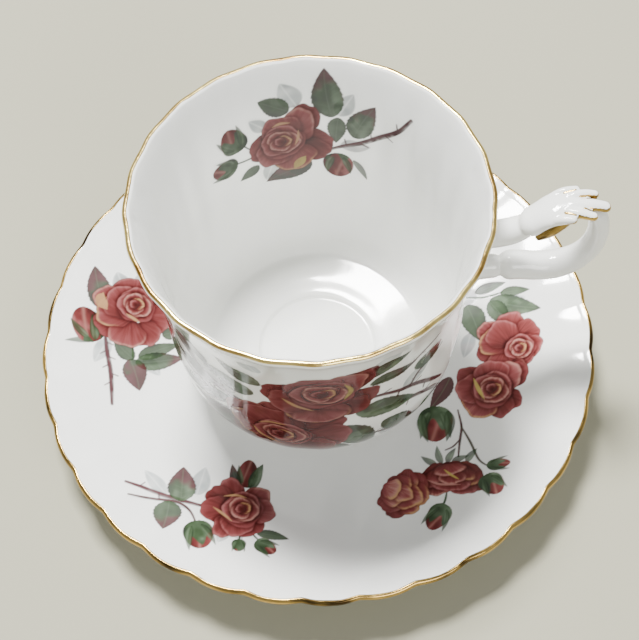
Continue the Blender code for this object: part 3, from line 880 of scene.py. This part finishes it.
def inside_spray():
    return painted(
        Sheet(-29, 28, -42, 1, PITCH),
        (ghost_leaf, (-2, -13, -25, 8.5, 6, 1), (8, -16, 25, 8.5, 5, 2),
         (8.5, -26.5, 75, 8.5, 4.5, 3, "mauve"), (-10, -19, -40, 6.5, 4, 4),
         (-9, -31, -160, 7, 4.5, 5)),
        (stem, ([(6, -28), (12, -25), (18, -20.5), (23.5, -15), (26.5, -9.5)], 1.5, WOOD, 5, 7),
         ([(-13, -26.5), (-17, -27), (-20, -26.5)], 0.6, SHOOT, 0, 3)),
        (leaf, (-4, -14, -62, 8.5, 6.2, 11), (6.5, -16.5, -12, 14.8, 8, 12, "mint", 0.42),
         (8, -16.5, 186, 9, 5, 13, "sage", 0, -0.06),
         (12, -22.5, 18, 13, 7, 14, "mint", 0.45),
         (1, -33, 243, 13.5, 7, 15, "wine", 0.3, 0.12, "umber", "pine")),
        (sepal, (12, -31, 140, 7.5, 2.2, 16)),
        (bud, (8, -34, 180, 9.5, 8, 21, 0.16, "pink"),
         (-19, -18.5, -20, 9, 7, 22, 0.6, "rose", (-14.5, -24)),
         (-22.5, -26.3, -70, 8, 6.2, 23, 0.66)),
        (leaf, (-13, -30.5, 235, 6.5, 3.6, 24)),
        (rose, (-4.2, -24, 11.5, 0, 3, OPEN_ROSE, (-0.2, -0.02), 0.5)),
        (stroke, ([(-3.6, -35), (-2.6, -33.6), (-0.6, -31)], 2.6, "straw", 0.85),
         ([(-8.4, -18.6), (-6.4, -17.8), (-4, -17.9)], 0.8, "cream"),
         ([(-2, -21), (-2.2, -23.6), (-3, -26)], 0.7, "cream")),
    )


def left_spray():
    return painted(
        Sheet(-66, -33, -15, 28, PITCH),
        (ghost_leaf, (-50, 20, -20, 6, 5, 1), (-46, 21, 5, 5.5, 4, 2), (-54, 6, 205, 8, 4.5, 3),
         (-45, 1, 140, 6.5, 4, 4), (-38, 12, 80, 4.5, 4, 5)),
        (stem, ([(-55, 8), (-54.2, 2), (-53.2, -4), (-52.6, -13)], 1.3, WOOD, 6, 6),
         ([(-47.8, 6), (-47.8, 0.5)], 0.6, SHOOT, 0, 7)),
        (leaf, (-55, 14.5, -17, 12.5, 7, 8, "sage", 0.55, 0.12, "umber"),
         (-47.5, 0.5, -48, 7.5, 4.5, 9), (-46.5, 1, 62, 11.5, 4.2, 10),
         (-47.2, -0.5, 83, 12.5, 5.4, 11, "mint", 0.45, -0.08),
         (-48.5, 0.5, 160, 9.5, 6.4, 12, "wine", 0.7), (-40.5, 8, 70, 4.5, 4, 13)),
        (sepal, (-58, 5, -90, 7, 1.6, 14, -0.1)),
        (bud, (-59.3, 9.6, -22, 10.5, 8, 15, 0.1, "pink")),
        (sepal, (-57.4, 5.2, -2, 7.5, 2.4, 16, -0.1)),
        (rose, (-48.3, 14, 10.2, 0, 5, FULL_ROSE, (0.1, 0.24), 0.48)),
        (stroke, ([(-55.6, 19), (-56.2, 17), (-54.6, 14.6)], 3, "cream"),
         ([(-49.6, 13.6), (-47.8, 12.4), (-46.2, 11.4)], 0.8, "cream")),
    )


def front_spray():
    return painted(
        Sheet(-49, -8, -57, -27, PITCH),
        (ghost_leaf, (-38.8, -38.5, -38, 8.8, 4, 1), (-31.5, -38.6, 15, 8.6, 5, 2),
         (-24, -48, 210, 5, 3.5, 3), (-22, -48, 160, 4, 3, 4), (-41, -39, 115, 9, 2, 5, "mauve")),
        (stem, ([(-48.5, -35.3), (-42, -37.8), (-35, -40.2), (-29, -42)], 1.2, WOOD, 3, 6),
         ([(-48, -39.2), (-41.5, -40), (-36, -40.8), (-33, -43.2), (-31.3, -47)], 0.8, BRIAR, 0, 7),
         ([(-18.5, -48.5), (-17.5, -50.5), (-15.8, -52.4)], 0.5, SHOOT, 0, 8),
         ([(-20.6, -48.5), (-21, -50.5), (-21.2, -52.4)], 0.5, SHOOT, 0, 9)),
        (leaf, (-35.2, -40.4, 2, 10, 7.2, 10, "mint", 0.55, 0.02),
         (-38, -40.4, 186, 8.6, 7, 11, "sage", 0.5), (-17, -49.6, 100, 8, 2.8, 12)),
        (bud, (-30.8, -50, 168, 8.4, 7, 13, 0.7), (-21.3, -53, 185, 3.6, 3.4, 14, 0.95),
         (-14.9, -53.6, 125, 5.8, 4.2, 15, 0.68), (-19, -32.4, 8, 8.2, 5.2, 16, 0.1)),
        (blade, (-21.4, -36.4, -16, 7, 2.6, 17, "sage", 0.5, 0.12, "umber", "pine"),
         (-18.2, -37, 18, 8, 3, 18, "mint")),
        (rose, (-21.6, -42.6, 8.9, 0, 8, STAR_ROSE, (0.12, 0), 0.56)),
        (stroke, ([(-27.4, -42), (-25, -44), (-23, -46)], 0.7, "cream"),
         ([(-24.8, -38.8), (-21.8, -38.6), (-19.4, -39.4)], 0.6, "cream")),
    )


def right_spray():
    return painted(
        Sheet(12, 59, -54, 19, PITCH),
        (ghost_leaf, (42, 13, -50, 5, 5, 1, "mauve"), (46, 11, 85, 9, 4, 2),
         (40, 4, 200, 7.5, 4, 3, "mauve")),
        (stem, ([(39, 14.5), (44, 13.6), (49, 14.2)], 0.6, SHOOT, 0, 4),
         ([(34.6, -18), (35, -23), (34.2, -27), (33.4, -31.5)], 0.7, BRIAR, 0, 5),
         ([(35, -23), (36.8, -28), (38.2, -33), (40.2, -35.4)], 0.7, ("pine", "twig", "sage"), 0, 6),
         ([(34.4, -26.5), (32.4, -28.4), (30.4, -29.2)], 0.5, BRIAR, 0, 7),
         ([(29.6, -41.5), (29, -43.6), (28, -45.6)], 0.6, SHOOT, 0, 8)),
        (blade, (42, 15.2, 74, 8.4, 3, 9, "sage", 0, 0.12, "umber", "pine")),
        (leaf, (48.4, 14, 88, 7.6, 3, 10), (45.6, 12.6, 116, 13.5, 6, 11, "mint", 0, -0.12),
         (45.4, 12.2, 148, 9, 5.2, 12), (39.6, 12.2, 162, 11.4, 6.6, 13),
         (33.6, -8, 210, 10.5, 4.6, 14, "wine", 0, 0.12, "shade", "maroon")),
        (bud, (28.6, -21.2, 186, 10.5, 8.6, 15, 0.52)),
        (sepal, (25.6, -17.8, 186, 8.4, 2.6, 16, -0.3), (32, -17.8, 176, 8.8, 2.8, 17, 0.3),
         (27.94, -33, -62, 4.6, 1.8, 18), (29.26, -33, -18, 5.4, 1.8, 62),
         (30.46, -33, 22, 4.8, 1.8, 102), (31.66, -33, 62, 4.4, 1.8, 142),
         (35.2, -33.4, 30, 4.6, 1.8, 19)),
        (blade, (23.6, -39.8, -20, 4.6, 2.4, 20)),
        (rose, (49.2, -0.4, 8.6, 10, 9, FULL_ROSE, (0.28, -0.26), 0.46)),
        (petal, (50.6, -8.2, 120, 2.6, 2.4, 12, -0.05)),
        (rose, (43.4, -12.4, 9.6, 40, 10, OPEN_ROSE, (0.02, -0.08), 0.54)),
        (stroke, ([(39.4, -9.4), (40.2, -12.4), (41.4, -15.8)], 1, "straw", 0.85)),
        (side_rose, (31, -37.4, 8.6, 5.4, 4, 11)),
        (stroke, ([(29.6, -34.8), (31, -36.4), (32.8, -38)], 0.6, "straw"),
         ([(24.8, -37), (28, -38.8), (33, -39.6)], 0.6, "blush")),
        (side_rose, (19, -40.6, 6.6, 6.8, -52, 12, True)),
        (bud, (42.8, -35.2, 88, 5.8, 3.2, 21, 0.66), (40.6, -40.6, 155, 6.4, 6, 22, 0.62),
         (26.8, -48.2, 212, 8.2, 5.6, 23, 0.6)),
    )


def band_spray(front):
    """The wide spray round the outside of the cup: x runs round the wall, y down from the lip. The one at
    the back stops short of the handle, where the one in front has one more rose."""
    end_rose = [
        (leaf, (-44, -50, 196, 12, 6.5, 92, "sage", 0.5)),
        (rose, (-50, -36, 12, 60, 98, FULL_ROSE, (0.1, 0.1), 0.5)),
    ]
    return painted(
        Sheet(-62 if front else -40, 46, -70, -7, 0.24),
        (ghost_leaf, (-20, -30, -60, 12, 7, 50, "mauve"), (-26, -36, -75, 13, 6, 62, "mauve"),
         (-38, -50, 210, 12, 6, 88, "mauve"), (-26, -58, 200, 10, 6, 84), (12, -14, 30, 10, 6, 26),
         (20, -32, 50, 10, 6, 52), (14, -50, 110, 16, 8, 64, "mauve"), (24, -56, 60, 12, 6, 80),
         (-57, -46, 160, 11, 6, 103), (4, -58, 170, 10, 7, 62), (-13, -12, -20, 8, 5, 25),
         (-36, -20, -40, 9, 6, 56)),
        (stem, ([(-14, -33), (-23, -32), (-31, -27), (-38, -19)], 3, WOOD, 4, 69),
         ([(-15, -37), (-25, -36), (-34, -32), (-39, -27)], 2.4, WOOD, 4, 75),
         ([(-20, -58), (-28, -60), (-34, -57), (-38, -58)], 1.2, WOOD, 4, 84),
         ([(10, -28), (18, -31), (26, -36), (34, -45)], 1.9, WOOD, 4, 54),
         ([(12, -37), (21, -39), (30, -45), (37, -57)], 1.9, WOOD, 4, 63),
         ([(8, -48), (18, -52), (28, -60), (38, -63)], 1.4, WOOD, 4, 54),
         ([(12, -22), (21, -21), (29, -15)], 1.1, WOOD, 4, 63),
         ([(22, -33), (25, -28), (32, -25)], 1, WOOD, 4, 75)),
        (leaf, (-13, -20, -58, 12, 6.5, 71, "mint"), (-15, -26, -78, 14, 7.5, 93, "mint"),
         (-27, -22, -40, 10, 5.5, 67, "sage", 0.45), (-22, -34, -130, 12, 5.5, 152, "sage", 0.45),
         (10, -17, 52, 12, 6, 62, "mint", 0, 0.12, "umber"),
         (11, -21, 84, 12, 5.5, 95, "sage", 0.45, 0.12, "umber"), (-26, -31, -88, 13, 6.5, 114, "mint"),
         (-20, -44, -98, 15, 7, 118, "sage", 0.45), (-30, -38, -118, 11, 5.5, 148, "mint"),
         (8, -34, 106, 17, 8.5, 114, "mint", 0, 0.12, "umber"),
         (15, -44, 138, 16, 7.5, 153, "sage", 0.45, 0.12, "umber"),
         (4, -40, 150, 20, 9.5, 154, "mint", 0, 0.12, "umber"),
         (20, -56, 110, 12, 6, 130, "sage", 0.45, 0.12, "umber"),
         (2, -50, 172, 16, 8.5, 174, "mint", 0, 0.12, "umber"), (-18, -54, 222, 14, 7, 240, "mint"),
         (-15, -40, 230, 25, 11.5, 91, "wine", 0.55, 0.12, "umber")),
        (bud, (27, -24, 62, 9, 6, 94), (31, -52, 120, 8.5, 6, 95, 0.62),
         (-34, -20, -50, 8, 6, 96, 0.55), (-29, -65, 240, 8, 6, 97, 0.6),
         (9.5, -12.5, 40, 7.5, 6, 93, 0.1)),
        *(end_rose if front else []),
        (rose, (-8.2, -42.5, 15.6, 0, 7, FULL_ROSE, (-0.1, -0.12), 0.44),
         (0.6, -22.5, 14.2, 15, 99, OPEN_ROSE, (-0.02, 0.1), 0.5)),
        (petal, (-0.6, -33, 178, 3.6, 6, 77, 0.14)),
        (stroke, ([(-8.4, -24), (-5.4, -28), (-1.6, -30)], 1, "cream"),
         ([(5.4, -17), (6.8, -21), (5.4, -25.6)], 1.1, "straw", 0.8),
         ([(-16.6, -44), (-14.6, -48.6), (-9.6, -51.6)], 1, "cream"),
         ([(-15, -41), (-12, -38.8), (-8, -38.6)], 0.8, "cream", 0.8)),
    )


# ---------------------------------------------------------------- laying the transfers
WRAP_RADIUS = 36.0
BARE = 0.004  # the cover below which a sheet counts as bare


def on_saucer(x, y):
    """The saucer's upper face at a place given in millimetres from the axis."""
    radius = np.hypot(x, y) * MM
    height = np.interp(radius, SAUCER_TOP[:, 0], SAUCER_TOP[:, 1])
    return flute_saucer(np.stack([x * MM, y * MM, height], axis=-1))


def behind_on_saucer(x, y):
    return on_saucer(-x, -y)


def on_wall(line, angle, below_lip):
    """A place on the cup's wall: an angle round the axis and millimetres down from the lip."""
    length = travelled(line)
    at = length[-1] + below_lip * MM
    radius, height = np.interp(at, length, line[:, 0]), np.interp(at, length, line[:, 1])
    return flute_cup(np.stack([radius * np.cos(angle), radius * np.sin(angle), height], axis=-1))


def on_wall_from(line, start, way):
    """Where a sheet lies on the wall: it is wrapped round from the start angle, one way or the other."""
    return lambda x, y: on_wall(line, start + way * x / WRAP_RADIUS, y)


def lay_transfer(name, sheet, strength, place):
    """The painted sheet as a thin skin on the china, cut away wherever it is bare. Strength scales the light
    that its paints return, as painted light and shade that differs from one transfer to another."""
    points = place(sheet.x, sheet.y)
    facing = np.cross(np.gradient(points, axis=1), np.gradient(points, axis=0))
    facing /= np.maximum(np.linalg.norm(facing, axis=-1, keepdims=True), 1e-12)
    points = points + facing * (LIFT * (0.6 + 0.4 * sheet.cover))[..., None]
    index = np.arange(sheet.cover.size).reshape(sheet.cover.shape)
    faces = np.stack([index[:-1, :-1], index[:-1, 1:], index[1:, 1:], index[1:, :-1]], axis=-1)
    faces = faces[sheet.cover.ravel()[faces].max(axis=-1) > BARE]
    used, faces = np.unique(faces, return_inverse=True)
    colours = strength * sheet.colour + (1 - sheet.cover[..., None]) * np.array(CHINA)
    colours = np.concatenate([colours, np.ones_like(colours[..., :1])], axis=-1).reshape(-1, 4)[used]
    piece = mesh_object(name, points.reshape(-1, 3)[used], faces.reshape(-1, 4))
    layer = piece.data.color_attributes.new("print", "FLOAT_COLOR", "POINT")
    layer.data.foreach_set("color", colours.astype(np.float32).ravel())
    return piece


def make_transfers():
    printed = glaze("printed_china", True)
    quarter = math.pi / 2
    inside_far = on_wall_from(BOWL_IN, quarter, -1)
    outside_front = on_wall_from(BOWL_OUT, -quarter, 1)
    outside_back = on_wall_from(BOWL_OUT, quarter, 1)
    # Each strength is painted light and shade. The prints inside the cup, round its wall and on the saucer's
    # left are darkened, and the saucer's right-hand spray, in the cup's shadow, is lightened.
    for name, sheet, strength, place, body, node in [
        ("saucer_left_roses", left_spray(), 0.85, on_saucer, "saucer", "saucer_left_spray"),
        ("saucer_front_rose", front_spray(), 1.0, on_saucer, "saucer", "saucer_front_spray"),
        ("saucer_right_roses", right_spray(), 1.3, on_saucer, "saucer", "saucer_right_spray"),
        ("saucer_back_rose", front_spray(), 1.0, behind_on_saucer, "saucer", "saucer_back_spray"),
        ("cup_inside_rose", inside_spray(), 0.65, inside_far, "cup", "cup_inside_spray"),
        ("cup_front_roses", band_spray(True), 0.8, outside_front, "cup", "cup_front_spray"),
        ("cup_back_roses", band_spray(False), 0.8, outside_back, "cup", "cup_back_spray"),
    ]:
        dress(lay_transfer(name, sheet, strength, place), printed, body, "transfer", node)


# ---------------------------------------------------------------- surroundings
def make_floor():
    mesh = bpy.data.meshes.new("floor")
    mesh.from_pydata([(-3, -3, 0), (3, -3, 0), (3, 3, 0), (-3, 3, 0)], [], [(0, 1, 2, 3)])
    floor = placed("floor", mesh)
    material, nodes, links, shader = node_material("floor", Roughness=0.9)
    colour = mottled(nodes, links, shader, noise_between(nodes, links, 6.0, 2.0, 0.97, 1.0))
    colour.default_value = (0.315, 0.305, 0.225, 1)
    mesh.materials.append(material)


def make_camera():
    """A close view from above the front, level with the set's right-hand side, leaning slightly."""
    elevation, lean, distance = math.radians(60.15), math.radians(-2.985), 0.4047
    target = Vector((0.0008, 0.0150, 0))
    back = Vector((0, -math.cos(elevation), math.sin(elevation)))
    right, up = Vector((1, 0, 0)), Vector((0, math.sin(elevation), math.cos(elevation)))
    across = math.cos(lean) * right + math.sin(lean) * up
    upward = -math.sin(lean) * right + math.cos(lean) * up
    camera = placed("camera", bpy.data.cameras.new("camera"))
    camera.data.lens = 84.8
    camera.data.sensor_width = 36
    turned = Matrix((across, upward, back)).transposed().to_4x4()
    camera.matrix_world = Matrix.Translation(target + back * distance) @ turned
    bpy.context.scene.camera = camera


def area_light(name, place, size, power, colour):
    """A soft rectangular light that shines on the set."""
    light = placed(name, bpy.data.lights.new(name, "AREA"))
    light.data.shape = "RECTANGLE"
    light.data.size, light.data.size_y = size
    light.data.energy = power
    light.data.color = colour
    light.location = place
    light.rotation_euler = (Vector((0, 0, 0.03)) - Vector(place)).to_track_quat("-Z", "Y").to_euler()


def make_lights():
    area_light("window", (-0.20, 0.42, 1.30), (0.34, 0.30), 68.0, (1.0, 0.995, 0.985))
    area_light("fill", (0.55, -1.15, 0.90), (0.8, 0.6), 15.0, (1.0, 0.99, 0.97))
    world = bpy.data.worlds.new("room")
    world.use_nodes = True
    settle(world.node_tree.nodes["Background"], Color=(0.86, 0.88, 0.90, 1), Strength=0.52)
    bpy.context.scene.world = world


def main():
    china = glaze("glazed_china", False)
    bright = gold("burnished_gold", (0.96, 0.74, 0.27), (0.40, 0.22, 0.05), 120.0)
    # The saucer's line and the handle's gilding, spur and notch lines take a browner, darker copy of the
    # gold: painted shade.
    brown = gold("worn_gold_and_painted_shade", (0.58, 0.38, 0.11), (0.055, 0.034, 0.012), 75.0)
    make_saucer(china, brown)
    make_cup(china, bright)
    make_handle(china, brown)
    make_transfers()
    make_floor()
    make_camera()
    make_lights()


main()
